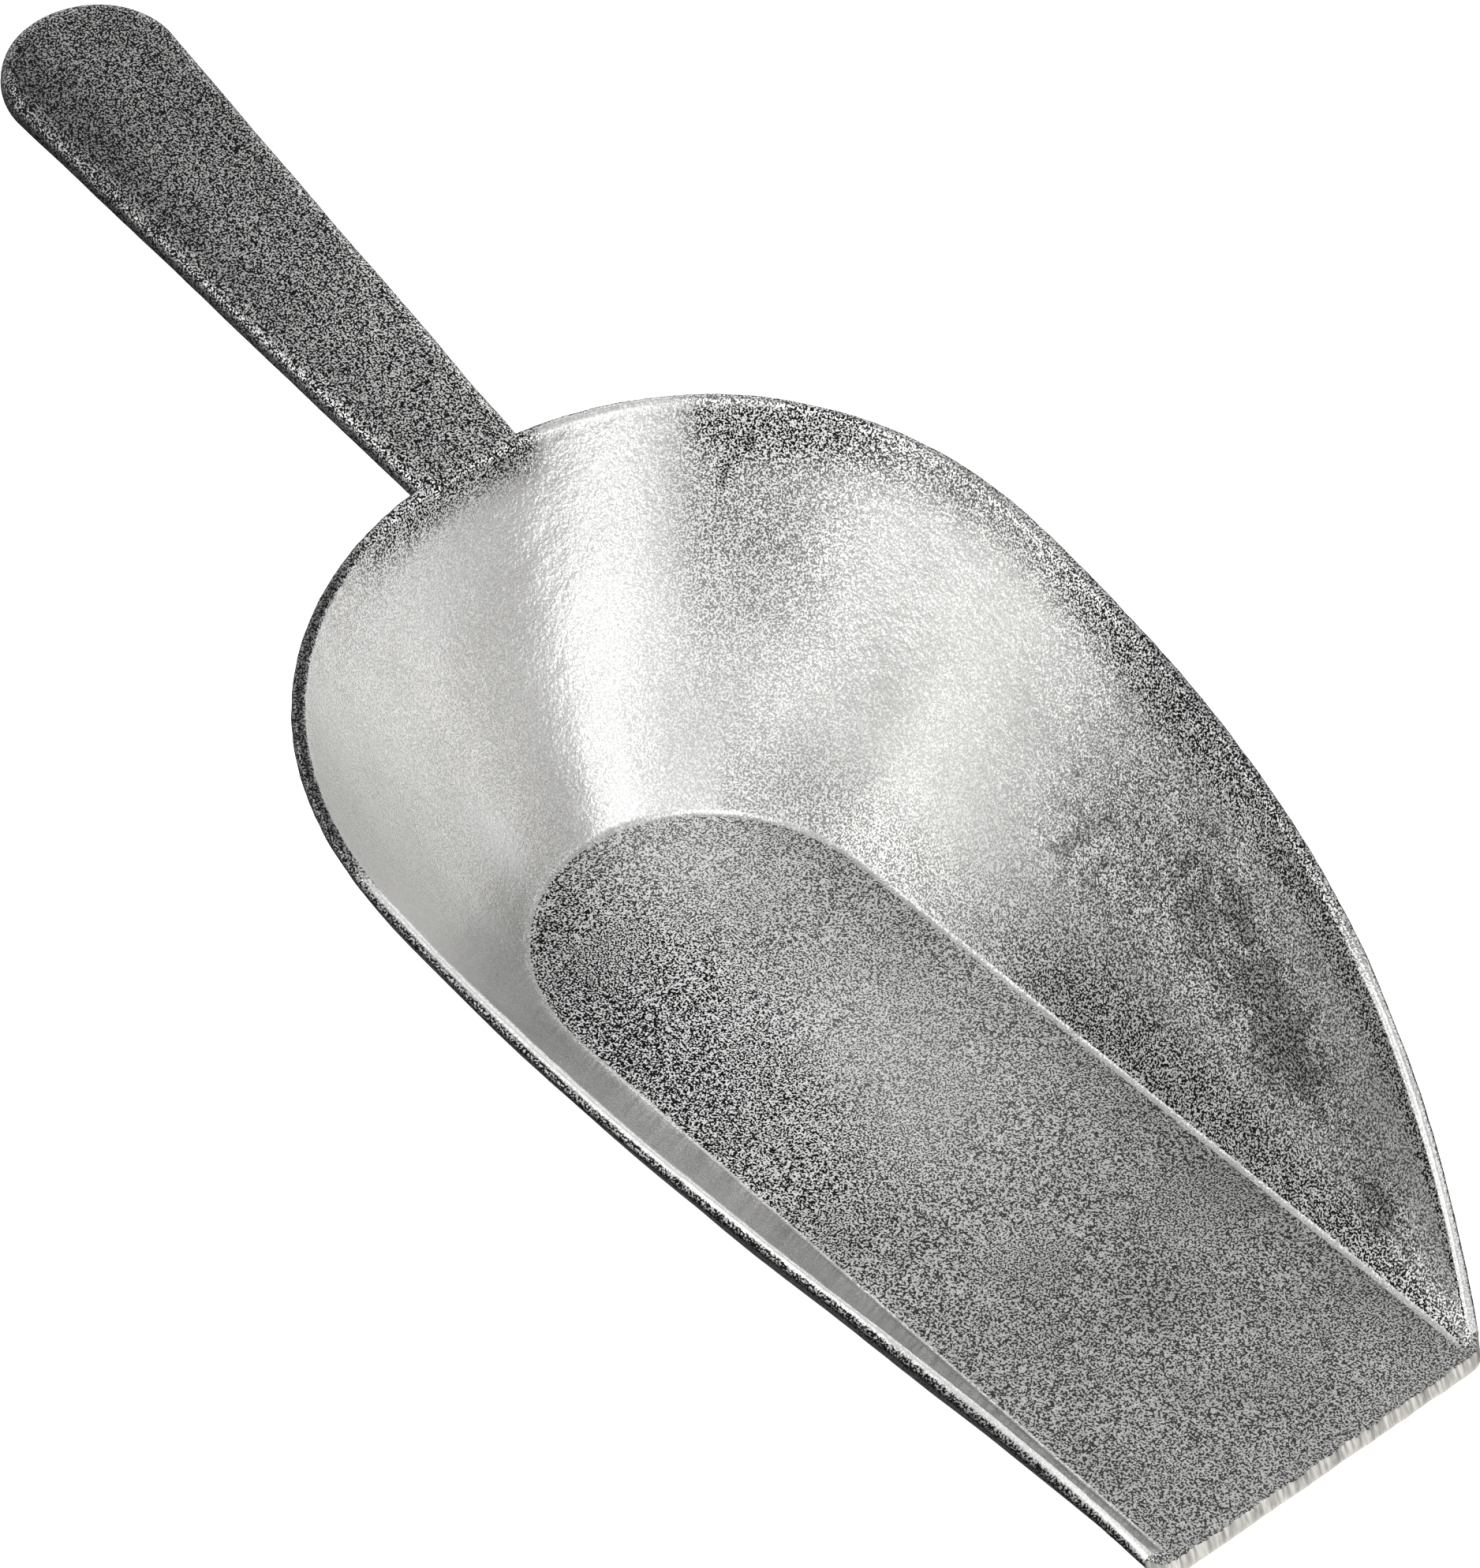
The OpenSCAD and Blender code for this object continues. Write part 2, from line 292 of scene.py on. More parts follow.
def make_piece(name, points, faces, materials, marks, sharp=math.radians(38), index=None):
    """A closed mesh piece that stands for the CAD node of the same name."""
    mesh = bpy.data.meshes.new(name)
    mesh.from_pydata((np.asarray(points) * MM).tolist(), [], faces)
    for material in materials:
        mesh.materials.append(material)
    if index is not None:
        mesh.polygons.foreach_set("material_index", index)
    mesh.polygons.foreach_set("use_smooth", [True] * len(mesh.polygons))
    for key, values in marks.items():
        mesh.attributes.new(key, "FLOAT", "POINT").data.foreach_set("value", np.asarray(values, float))
    mesh.update()
    weld(mesh)
    mesh.set_sharp_from_angle(angle=sharp)
    piece = bpy.data.objects.new(name, mesh)
    bpy.context.scene.collection.objects.link(piece)
    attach(piece, "root")
    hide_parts(name.replace("cast_", ""))
    return piece


def weld(mesh):
    """Joins points that lie on each other and turns all faces outwards."""
    shape = bmesh.new()
    shape.from_mesh(mesh)
    bmesh.ops.remove_doubles(shape, verts=shape.verts, dist=1e-7)
    bmesh.ops.dissolve_degenerate(shape, edges=shape.edges, dist=1e-8)
    bmesh.ops.recalc_face_normals(shape, faces=shape.faces)
    shape.to_mesh(mesh)
    shape.free()


# ---------------------------------------------------------------- materials

def new_material(name):
    """A material with its nodes, links and shader."""
    material = bpy.data.materials.new(name)
    material.use_nodes = True
    nodes = material.node_tree.nodes
    return material, nodes, material.node_tree.links, nodes["Principled BSDF"]


def node(nodes, kind, **settings):
    """A new node of the kind, with its settings."""
    made = nodes.new(kind)
    for key, value in settings.items():
        setattr(made, key, value)
    return made


class Graph:
    """Short ways to wire a material's nodes."""

    def __init__(self, name):
        self.material, self.nodes, self.links, self.shader = new_material(name)
        self.place = node(self.nodes, "ShaderNodeTexCoord").outputs["Object"]

    def feed(self, socket, value):
        """Links an output to the socket, or sets the socket to a plain value."""
        if hasattr(value, "links"):
            self.links.new(value, socket)
        else:
            socket.default_value = value

    def math(self, kind, a, b=0.0, clamp=False):
        """Arithmetic on one or two values."""
        made = node(self.nodes, "ShaderNodeMath", operation=kind, use_clamp=clamp)
        self.feed(made.inputs[0], a)
        self.feed(made.inputs[1], b)
        return made.outputs[0]

    def swing(self, value, by):
        """How far the value is from its middle, 0.5, times by."""
        return self.math("MULTIPLY", self.math("SUBTRACT", value, 0.5), by)

    def noise(self, size, detail=1.0, rough=0.5, distort=0.0):
        """Noise whose lumps measure about the given size in millimetres."""
        made = node(self.nodes, "ShaderNodeTexNoise")
        self.links.new(self.place, made.inputs["Vector"])
        made.inputs["Scale"].default_value = 1 / (size * MM)
        made.inputs["Detail"].default_value = detail
        made.inputs["Roughness"].default_value = rough
        made.inputs["Distortion"].default_value = distort
        return made.outputs["Fac"]

    def ramp(self, value, lo, hi, out_lo=0.0, out_hi=1.0):
        """Smooth step from out_lo at lo to out_hi at hi."""
        made = node(self.nodes, "ShaderNodeMapRange", interpolation_type="SMOOTHSTEP")
        for slot_name, v in zip(("Value", "From Min", "From Max", "To Min", "To Max"),
                                (value, lo, hi, out_lo, out_hi)):
            self.feed(made.inputs[slot_name], v)
        return made.outputs["Result"]

    def mark(self, name):
        """A value that the mesh carries at its points."""
        return node(self.nodes, "ShaderNodeAttribute", attribute_name=name).outputs["Fac"]

    def blend(self, share, a, b):
        """Colour a where the share is 0, and b where it is 1."""
        made = node(self.nodes, "ShaderNodeMix", data_type="RGBA")
        self.feed(made.inputs["Factor"], share)
        self.feed(made.inputs[6], a)
        self.feed(made.inputs[7], b)
        return made.outputs[2]

    def scale(self, colour, by):
        """The colour times a value."""
        made = node(self.nodes, "ShaderNodeVectorMath", operation="SCALE")
        self.feed(made.inputs[0], colour)
        self.feed(made.inputs["Scale"], by)
        return made.outputs[0]

    def bump(self, height, depth, strength=1.0, under=None):
        """Fine relief of a depth in millimetres, on top of another one if given."""
        made = node(self.nodes, "ShaderNodeBump")
        made.inputs["Distance"].default_value = depth * MM
        self.feed(made.inputs["Strength"], strength)
        self.links.new(height, made.inputs["Height"])
        if under is not None:
            self.links.new(under, made.inputs["Normal"])
        return made.outputs["Normal"]


# The cast skin: sizes of its patterns in millimetres, how much of it is groove, and its two colours: the
# metal and the near-black painted shade of the grooves
GRAIN_SIZE = 0.39
FINE_SIZE = 0.15
PEBBLE_SIZE = 0.8
LUMP_SIZE = 2.2
PATCH_SIZE = 4.5
CLOUD_SIZE = 28.0
# The grime mark carries real grime and painted groove shade together
CLEAN_GROOVES = 0.427                    # noise level under which a clean skin is groove
GRIME_AND_SHADE_GROOVES = 0.12                     # what full grime adds to that level
METAL = (0.94, 0.935, 0.92)
PAINTED_GROOVE_SHADE = (0.012, 0.013, 0.014, 1)


def cast_material():
    """As-cast aluminium: worm-like light grains with grooves between them painted near-black as shade,
    deeper where the grime-and-shade mark is high.
    """
    g = Graph("cast_aluminium")
    grime_and_painted_shade = g.mark("grime_and_painted_shade")
    tone_and_painted_light = g.mark("tone_and_painted_light")
    grain = g.noise(GRAIN_SIZE, 0.3, 0.4, 0.4)
    fine = g.noise(FINE_SIZE, 1.0, 0.5)
    patch = g.noise(PATCH_SIZE, 3.0, 0.6)
    soot = g.mark("soot")
    soot = g.ramp(g.math("ADD", soot, g.swing(patch, 1.6)), 0.34, 0.66)
    cloud = g.noise(CLOUD_SIZE, 2.0, 0.5)
    # Where the grime-and-shade mark is high, more of the surface counts as groove
    level = g.math("ADD", g.math("MULTIPLY", grime_and_painted_shade, GRIME_AND_SHADE_GROOVES), CLEAN_GROOVES)
    level = g.math("ADD", level, g.swing(patch, 0.04))
    mixed = g.math("ADD", grain, g.swing(fine, 0.08))
    rise = g.ramp(g.math("SUBTRACT", mixed, level), -0.010, 0.016)
    groove = g.math("SUBTRACT", 1.0, rise)
    pebbles = g.noise(PEBBLE_SIZE, 1.0, 0.5, 0.3)
    # Painted shade: thin dark lines round the pebbles, standing in for shade in their creases
    painted_crease_shade = g.ramp(g.math("ABSOLUTE", g.math("SUBTRACT", pebbles, 0.5)), 0.0, 0.05, 0.32, 0.0)
    # Painted shade: the grooves take a near-black colour, stronger where the grime-and-shade mark is
    # high
    painted_groove_shade = g.math("MULTIPLY", groove, g.ramp(grime_and_painted_shade, 0.1, 0.62, 0.20, 1.0), True)
    painted_groove_shade = g.math("MAXIMUM", painted_groove_shade, painted_crease_shade)
    # The tone mark holds the metal's own tone with painted light and shade laid into it
    bright = g.math("MULTIPLY", tone_and_painted_light, g.ramp(cloud, 0.35, 0.65, 0.94, 1.05))
    bright = g.math("MULTIPLY", bright, g.math("SUBTRACT", 1.0, g.math("MULTIPLY", soot, 0.42)))
    metal = g.scale(METAL, bright)
    g.feed(g.shader.inputs["Base Color"], g.blend(painted_groove_shade, metal, PAINTED_GROOVE_SHADE))
    g.shader.inputs["Metallic"].default_value = 1.0
    g.feed(g.shader.inputs["Roughness"], g.ramp(painted_groove_shade, 0.0, 1.0, 0.24, 0.6))
    broad = g.bump(g.math("ADD", pebbles, g.noise(LUMP_SIZE, 1.0, 0.5)), 0.08)
    g.feed(g.shader.inputs["Normal"], g.bump(rise, 0.045, under=broad))
    return g.material


def ground_material():
    """Bare aluminium where the lip was ground, with scratches down the face."""
    g = Graph("ground_aluminium")
    stretch = node(g.nodes, "ShaderNodeMapping")
    stretch.inputs["Scale"].default_value = (0.12, 1.0, 0.12)
    g.links.new(g.place, stretch.inputs["Vector"])
    g.place = stretch.outputs["Vector"]
    line = g.noise(0.35, 3.0, 0.6)
    band = g.noise(2.2, 2.0, 0.5)
    tint = g.blend(g.ramp(line, 0.35, 0.65), (0.50, 0.48, 0.45, 1), (0.74, 0.72, 0.68, 1))
    tint = g.blend(g.ramp(band, 0.4, 0.7, 0.0, 0.4), tint, (0.42, 0.40, 0.38, 1))
    g.feed(g.shader.inputs["Base Color"], tint)
    g.shader.inputs["Metallic"].default_value = 1.0
    g.feed(g.shader.inputs["Roughness"], g.ramp(line, 0.3, 0.7, 0.30, 0.5))
    g.feed(g.shader.inputs["Normal"], g.bump(line, 0.06, 0.6))
    return g.material


def paper_material():
    """Matt white paper of the studio floor."""
    g = Graph("studio_paper")
    fibre = g.noise(1.5, 2.0, 0.5)
    g.feed(g.shader.inputs["Base Color"], g.blend(fibre, (0.93, 0.93, 0.93, 1), (0.95, 0.95, 0.95, 1)))
    g.shader.inputs["Roughness"].default_value = 0.9
    g.shader.inputs["Emission Color"].default_value = (1, 1, 1, 1)
    g.shader.inputs["Emission Strength"].default_value = 0.75
    return g.material


CAST = cast_material()
GROUND = ground_material()


# ---------------------------------------------------------------- bowl pieces

def spot(u, v, centre, size):
    """Soft spot: 1 at its centre and near 0 beyond its size."""
    return np.exp(-((u - centre[0]) / size[0]) ** 2 - ((v - centre[1]) / size[1]) ** 2)


def spots(u, v, marks, base=0.0):
    """The base with soft spots added, each given as its strength, centre and size."""
    return sum((strength * spot(u, v, centre, size) for strength, centre, size in marks), base)


# Spots of the inner face; places are the step round the bowl and the share up the wall
STAINS = (
    (1.0, (0.475, 0.915), (0.012, 0.03)),
    (0.9, (0.432, 0.82), (0.012, 0.035)),
    (0.5, (0.452, 0.87), (0.010, 0.03)),
    (0.5, (0.535, 0.91), (0.010, 0.02)),
)
BLOTCHES = (
    (0.6, (1.46, 0.60), (0.13, 0.20)),
    (0.7, (1.62, 0.47), (0.10, 0.18)),
    (0.75, (1.83, 0.37), (0.06, 0.20)),
    (0.45, (1.24, 0.45), (0.09, 0.20)),
)


def inner_look(at, up):
    """Grime with painted groove shade, tone with painted light and shade, and soot of the bowl's inner
    face, from the step round the bowl and the share up.
    """
    # Painted shade: the front of the right wall is made darker and grimier; the grime levels below mix
    # real grime with painted groove shade, less on the left where the wall is painted lighter and
    # smoother
    front = smooth(at + 0.12 * up, 1.08, 1.42)
    grime_and_painted_shade = 0.21 + 0.27 * front
    grime_and_painted_shade += 0.24 * smooth(at, 0.28, 0.42) * smooth(at, 0.80, 0.5) * smooth(up, 0.05, 0.75)
    grime_and_painted_shade += 0.26 * smooth(at, 0.34, 0.42) * smooth(up, 0.82, 0.98)
    grime_and_painted_shade += 0.15 * smooth(at, 0.42, 0.5) * smooth(up, 0.3, 0.05)
    grime_and_painted_shade -= 0.15 * smooth(at, -0.7, -0.95)
    grime_and_painted_shade += 0.10 * smooth(at, -0.6, -0.25) * smooth(at, 0.18, 0.04) * smooth(up, 0.66, 1.0)
    grime_and_painted_shade += 0.38 * smooth(at, -0.34, -0.14) * smooth(at, 0.14, 0.07) * smooth(up, 0.86, 1.0)
    stain = spots(at, up, STAINS)
    blotch = spots(at, up, BLOTCHES)
    # Painted highlights: brighter streaks running down the left of the back and a hot spot low on it,
    # with a painted darker valley beside them and a painted lighter patch high on the back
    painted_streak_highlight = spot(at + 0.28 + 0.36 * (up - 0.15), up, (0, 0.5), (0.09, 0.5))
    painted_streak_highlight += 5.0 * spot(at, up, (-0.285, 0.15), (0.05, 0.09))
    painted_valley_shade = spot(at + 0.06 + 0.30 * up, up, (0, 0.5), (0.07, 0.45))
    # Painted light and shade in the tone: darker towards the front of the right wall, lighter on the
    # left of the back and near the lip, darker at the far left and over the right wall's lit zone
    tone_and_painted_light = 1.0 - 0.36 * front + 0.20 * smooth(at, 1.76, 1.98)
    tone_and_painted_light += 0.06 * smooth(at, -0.1, -0.3) + 0.15 * smooth(at, -0.42, -0.62)
    tone_and_painted_light -= 0.34 * smooth(at, -0.85, -1.1)
    tone_and_painted_light -= (0.18 * smooth(at, 0.5, 0.7) * smooth(at, 1.0, 0.8)
             + 0.07 * smooth(at, 0.55, 0.75) * smooth(up, 0.5, 0.2))
    tone_and_painted_light += 0.07 * painted_streak_highlight - 0.02 * painted_valley_shade + 0.16 * spot(at, up, (-0.12, 0.85), (0.12, 0.2))
    soot = np.clip(1.1 * stain + 1.05 * blotch, 0, 1)
    grime_and_painted_shade += 0.3 * np.clip(stain, 0, 1) + 0.1 * np.clip(blotch, 0, 1)
    return grime_and_painted_shade, tone_and_painted_light, soot


def wall_marks(s):
    """Marks of the wall's skin: inner face, rim and outer face."""
    at, up = np.meshgrid(s, row_shares(), indexing="ij")
    row = np.arange(SKIN_ROWS)
    inside = (row < INNER_ROWS)[None, :]
    rim = ((row >= INNER_ROWS) & (row < SKIN_ROWS - INNER_ROWS))[None, :]
    grime_and_painted_shade, tone_and_painted_light, soot = inner_look(at, up)
    # Painted highlight: the corner between wall and floor is made clean and bright, uneven along its
    # length
    corner = (row < 1 + FILLET_STEPS)[None, :]
    uneven = np.sin(37 * at + 1.3) + np.sin(61 * at) + np.sin(101 * at + 2.1)
    grime_and_painted_shade = np.where(corner, 0.26 + 0.03 * uneven, grime_and_painted_shade)
    tone_and_painted_light = np.where(corner, 0.92 + 0.05 * uneven, tone_and_painted_light)
    # The rim keeps the look of the inner face next to it and is worn bright at the right; its outer half
    # gets painted shade, dark and grimy, and on the left the painted shade spreads over the whole round
    # and is darker
    over = np.clip((row - INNER_ROWS + 1) / ROUND_STEPS, 0, 1)[None, :]
    left = smooth(at, -0.15, -0.35) * smooth(at, -1.05, -0.85)
    painted_crest_highlight = smooth(at, -0.85, -1.05) * smooth(over, 0.22, 0.34) * smooth(over, 0.50, 0.42)
    rim_outer_shade = np.maximum(smooth(over, 0.42, 0.62), left * smooth(over, 0.0, 0.2))
    worn = 0.5 * smooth(at, 0.26, 0.34) * smooth(at, 0.60, 0.50) + smooth(at, 1.42, 1.75)
    worn *= smooth(up, 0.985, 1.0) * smooth(over, 0.62, 0.45)
    rim_grime_and_painted_shade = grime_and_painted_shade + (0.85 - grime_and_painted_shade) * rim_outer_shade
    rim_tone_and_painted_light = tone_and_painted_light + (0.40 - 0.16 * left - tone_and_painted_light) * rim_outer_shade
    grime_and_painted_shade = np.where(inside | rim, rim_grime_and_painted_shade, 0.60)
    tone_and_painted_light = np.where(inside | rim, rim_tone_and_painted_light, 1.05)
    grime_and_painted_shade += (0.26 - grime_and_painted_shade) * worn
    tone_and_painted_light += (1.0 - tone_and_painted_light) * worn
    # Painted highlight: the left rim gets a bright line along its crest towards the lip
    grime_and_painted_shade += (0.15 - grime_and_painted_shade) * painted_crest_highlight
    tone_and_painted_light += (1.3 - tone_and_painted_light) * painted_crest_highlight
    return {"grime_and_painted_shade": np.clip(grime_and_painted_shade, 0, 1), "tone_and_painted_light": tone_and_painted_light, "soot": soot * inside}


def spread(start, end, length):
    """Values from start to end, a mesh step apart over the given length."""
    return np.linspace(start, end, max(2, round(length / STEP)) + 1)


RIM_SIDE_STRETCH = 1.12                  # length of a side's rim over the side's own length
BACK_STEPS = spread(-1, 1, math.pi * RIM_HALF_W)
SIDE_STEPS = spread(1, 2, RIM_SIDE_STRETCH * SIDE_L)


def wall_piece(name, s):
    """A stretch of the wall between two steps, closed at both ends."""
    points, facing = wall_skin(s)
    near_rim = smooth(row_shares(), 0.93, 1.0)[None, :]
    points = relief(points, facing, near_rim)
    marks = wall_marks(s)
    keep = slice(1, SKIN_ROWS - 1)
    body = points[:, keep]
    marks = {key: value[:, keep].ravel() for key, value in marks.items()}
    rows, cols = body.shape[:2]
    faces = grid_faces(rows, cols)
    for row in (0, rows - 1):
        first = row * cols
        for i in range(cols // 2 - 1):
            faces.append((first + i, first + cols - 1 - i, first + cols - 2 - i, first + i + 1))
        if cols % 2:
            mid = first + cols // 2
            faces.append((mid - 1, mid + 1, mid))
    # The foot, where the wall stands against the floor
    faces += closing_faces(rows, cols)
    return make_piece(name, body.reshape(-1, 3), faces, [CAST], marks)


# Spots of grime and painted groove shade on the floor, in millimetres along and across it from the start
# of the straight sides
FLOOR_GRIME_AND_SHADE = (
    (0.46, (8, -34), (46, 24)),
    (-0.1, (45, 4), (30, 26)),
    (-0.08, (-26, 12), (22, 20)),
)


def floor_piece():
    """Flat floor, a grid from its spine to its outline on both faces, closed round the edge."""
    s = np.concatenate([-SIDE_STEPS[:0:-1], BACK_STEPS, SIDE_STEPS[1:]])
    edge = floor_xy(s)
    spine = np.stack([np.maximum(edge[:, 0], 0), np.zeros(len(s))], -1)
    share = np.linspace(1, 0, FLOOR_STEPS + 1)[None, :, None]
    flat = spine[:, None] + (edge - spine)[:, None] * share
    flat = flat + np.array([START_X, 0])
    layers = []
    for height, look in ((WALL_T, 1), (0, -1)):
        points = np.concatenate([flat, np.full(flat.shape[:2] + (1,), height)], -1)
        facing = np.zeros_like(points)
        facing[..., 2] = look
        layers.append(relief(points, facing))
    rows, cols = flat.shape[:2]
    n = rows * cols
    faces = grid_faces(rows, cols) + [f[::-1] for f in grid_faces(rows, cols, n)]
    for r in range(rows - 1):
        faces.append((r * cols, (r + 1) * cols, n + (r + 1) * cols, n + r * cols))
    for row in (0, rows - 1):
        for c in range(cols - 1):
            a = row * cols + c
            faces.append((a, a + 1, n + a + 1, n + a))
    points = np.concatenate([layer.reshape(-1, 3) for layer in layers])
    local_x = points[:, 0] - START_X
    across = points[:, 1]
    grime_and_painted_shade = spots(local_x, across, FLOOR_GRIME_AND_SHADE, 0.52)
    # Painted light and shade: the floor's tone is lighter at the back, where the floor mirrors the
    # bright back wall, and darker towards the lip, with a darker patch near it
    tone_and_painted_light = 1.16 - 0.42 * smooth(local_x, 0, 120) - 0.1 * spot(local_x, across, (127, 5), (12, 10))
    marks = {"grime_and_painted_shade": grime_and_painted_shade, "tone_and_painted_light": tone_and_painted_light}
    return make_piece("cast_bowl_floor", points, faces, [CAST], marks)


def lip_outline(y):
    """How far forward the lip reaches at y."""
    corner_x = LIP_X - START_X - LIP_CORNER_R
    turn = LIP_CORNER_TURN
    corner_y = (SIDE_L * math.cos(turn) + RIM_FRONT_W / 2 * math.sin(turn)
                - LIP_CORNER_R - corner_x * math.cos(turn)) / math.sin(turn)
    past = np.abs(y) - corner_y
    arc = corner_x + np.sqrt(np.maximum(LIP_CORNER_R ** 2 - np.clip(past, 0, LIP_CORNER_R) ** 2, 0))
    end = LIP_CORNER_R * math.sin(turn)
    slant = corner_x + LIP_CORNER_R * math.cos(turn) - (past - end) * math.tan(turn)
    return START_X + np.where(past <= end, arc, slant)


# Points across half of the lip, then round its section: cast top, upper roll, ground face, lower roll
# and bottom
LIP_FLOOR_STEPS = 130
LIP_CORNER_STEPS = 22
LIP_TOP_STEPS = 5
LIP_UPPER_ROLL = (0.35, 0.75)
LIP_FACE_STEPS = 6
LIP_LOWER_ROLL = (0.25, 0.7)
LIP_BOTTOM_STEPS = 4


def lip_piece():
    """Front strip: cast skin on top and below, ground face in front, and the wall's end at the sides."""
    end, _ = wall_skin(np.array([2.0]))
    ring = end[0, 1:-1]
    half = len(ring) // 2
    upper = ring[:half + 1]
    lower = ring[half:][::-1]
    edge_y = ring[:, 1].max() - 0.02
    floor_half = FLOOR_FRONT_W / 2
    across = np.concatenate([
        np.linspace(0, floor_half, LIP_FLOOR_STEPS)[:-1],
        floor_half + (edge_y - floor_half) * np.sin(np.linspace(0, math.pi / 2, LIP_CORNER_STEPS)),
    ])
    across = np.concatenate([-across[:0:-1], across])
    size = np.abs(across)
    top = np.interp(size, upper[:, 1], upper[:, 2])
    low = np.interp(size, lower[:, 1], lower[:, 2])
    front = lip_outline(across)
    here = np.stack([front, across, np.zeros_like(across)], -1)
    front = front + 0.10 * waves(here, RIPPLE) + 0.10 * waves(here, NIBBLE)
    shifted = here + 40                  # so that the bevel doesn't copy the front's waves
    bevel = (LIP_BEVEL + 0.25 * waves(shifted, NIBBLE) + 0.2 * waves(shifted, RIPPLE)
             + 0.35 * waves(here, TEETH))
    back = np.full_like(front, START_X + SIDE_L)
    length = np.maximum(front - back, 0.05)
    bevel = np.minimum(bevel, 0.8 * length)
    flat = smooth(length, 0.0, 4.0)
    front_top = WALL_T + (top - WALL_T) * (1 - flat)
    front_low = low * (1 - flat)
    columns = []
    for t in np.linspace(0, 1, LIP_TOP_STEPS):
        x = back + (length - bevel - 0.25 * flat) * t
        columns.append((x, top + (front_top - top) * t))
    for t in LIP_UPPER_ROLL:
        x = front - bevel + 0.10 * flat * t
        columns.append((x, front_top - 0.22 * t * flat))
    for t in np.linspace(0.18, 0.86, LIP_FACE_STEPS):
        columns.append((front - bevel * (1 - t), front_top + (front_low - front_top) * t))
    for t in LIP_LOWER_ROLL:
        columns.append((front - 0.12 * t, front_low + 0.28 * (1 - t) * flat))
    for t in np.linspace(1, 0, LIP_BOTTOM_STEPS):
        columns.append((back + (length - 0.3 * flat) * t, low + (front_low - low) * t))
    points = np.stack([np.stack([x, across, z], -1) for x, z in columns], 1)
    cast = np.arange(len(columns)) <= LIP_TOP_STEPS
    facing = np.zeros_like(points)
    facing[:, :, 2] = 1
    body = np.where(cast[None, :, None], relief(points, facing), points)
    rows, cols = body.shape[:2]
    faces = grid_faces(rows, cols, wrap=True)
    ground = range(LIP_TOP_STEPS + 1, LIP_TOP_STEPS + len(LIP_UPPER_ROLL) + LIP_FACE_STEPS + 1)
    index = [int(i % cols in ground) for i in range(len(faces))]
    for row in (0, rows - 1):
        faces.append(tuple(row * cols + c for c in range(cols)))
        index.append(0)
    marks = {"grime_and_painted_shade": np.full(rows * cols, 0.5), "tone_and_painted_light": np.full(rows * cols, 0.72)}
    return make_piece("cast_pouring_lip", body.reshape(-1, 3), faces, [CAST, GROUND],
                      marks, math.radians(45), index)


wall_piece("cast_bowl_back_wall", BACK_STEPS)
wall_piece("cast_bowl_right_wall", SIDE_STEPS)
wall_piece("cast_bowl_left_wall", -SIDE_STEPS[::-1])
floor_piece()
lip_piece()


# ---------------------------------------------------------------- handle

HANDLE_ORIGIN = np.array([START_X - RIM_BACK_L, 0.0, RIM_H + HANDLE_STEP])
ALONG = np.array([-math.cos(HANDLE_PITCH), 0.0, math.sin(HANDLE_PITCH)])
ACROSS = np.array([0.0, 1.0, 0.0])
UP = np.array([math.sin(HANDLE_PITCH), 0.0, math.cos(HANDLE_PITCH)])


def handle_half_w(along):
    """Half the handle's width at a distance from the rim."""
    return (HANDLE_ROOT_W + (HANDLE_END_W - HANDLE_ROOT_W) * along / HANDLE_TAPER_L) / 2


def handle_place(along, across, up):
    """Points in the handle's own directions, brought into the frame."""
    along, across, up = np.broadcast_arrays(along, across, up)
    return HANDLE_ORIGIN + along[..., None] * ALONG + up[..., None] * UP + across[..., None] * ACROSS


BOTTOM_EDGE_STEPS = 7
SHOULDER_STEPS = 13
ACROSS_STEPS = 24
TIP_TURN_STEPS = 61
TIP_FACE_STEPS = 13


def handle_edge():
    """The handle's edge from the bottom to the top, as (inset, up), with its facing (out, up)."""
    low = np.linspace(0, math.pi / 2, BOTTOM_EDGE_STEPS)
    high = np.linspace(0, math.pi / 2, SHOULDER_STEPS)
    flat = np.linspace(-HANDLE_T + HANDLE_BOTTOM_R, -SHOULDER_R, 3)[1:-1]
    none = np.zeros_like(flat)
    inset = np.concatenate([HANDLE_BOTTOM_R * (1 - np.sin(low)), none, SHOULDER_R * (1 - np.cos(high))])
    up = np.concatenate([-HANDLE_T + HANDLE_BOTTOM_R * (1 - np.cos(low)), flat,
                         -SHOULDER_R * (1 - np.sin(high))])
    out = np.concatenate([np.sin(low), none + 1, np.cos(high)])
    rise = np.concatenate([-np.cos(low), none, np.sin(high)])
    return inset, up, out, rise


EDGE_INSET, EDGE_UP, EDGE_OUT, EDGE_RISE = handle_edge()


def handle_section(half_w):
    """Closed section as (across, up) with facing: +Y edge, top, -Y edge, bottom."""
    share = np.linspace(1, -1, ACROSS_STEPS + 1)[1:-1]
    across = np.concatenate([half_w - EDGE_INSET, share * (half_w - SHOULDER_R),
                             (EDGE_INSET - half_w)[::-1], -share * (half_w - HANDLE_BOTTOM_R)])
    none = np.zeros_like(share)
    up = np.concatenate([EDGE_UP, none, EDGE_UP[::-1], none - HANDLE_T])
    out = np.concatenate([EDGE_OUT, none, -EDGE_OUT[::-1], none])
    rise = np.concatenate([EDGE_RISE, none + 1, EDGE_RISE[::-1], none - 1])
    return across, up, out, rise


def facing_of(out, rise):
    """Facings in the frame, from the parts across the handle and up from it."""
    return out[..., None] * ACROSS + rise[..., None] * UP


def handle_ring(along):
    """The straight handle's section at a distance from the rim, with its relief."""
    across, up, out, rise = handle_section(handle_half_w(along))
    points = handle_place(along, across, up)
    return relief(points, facing_of(out, rise))


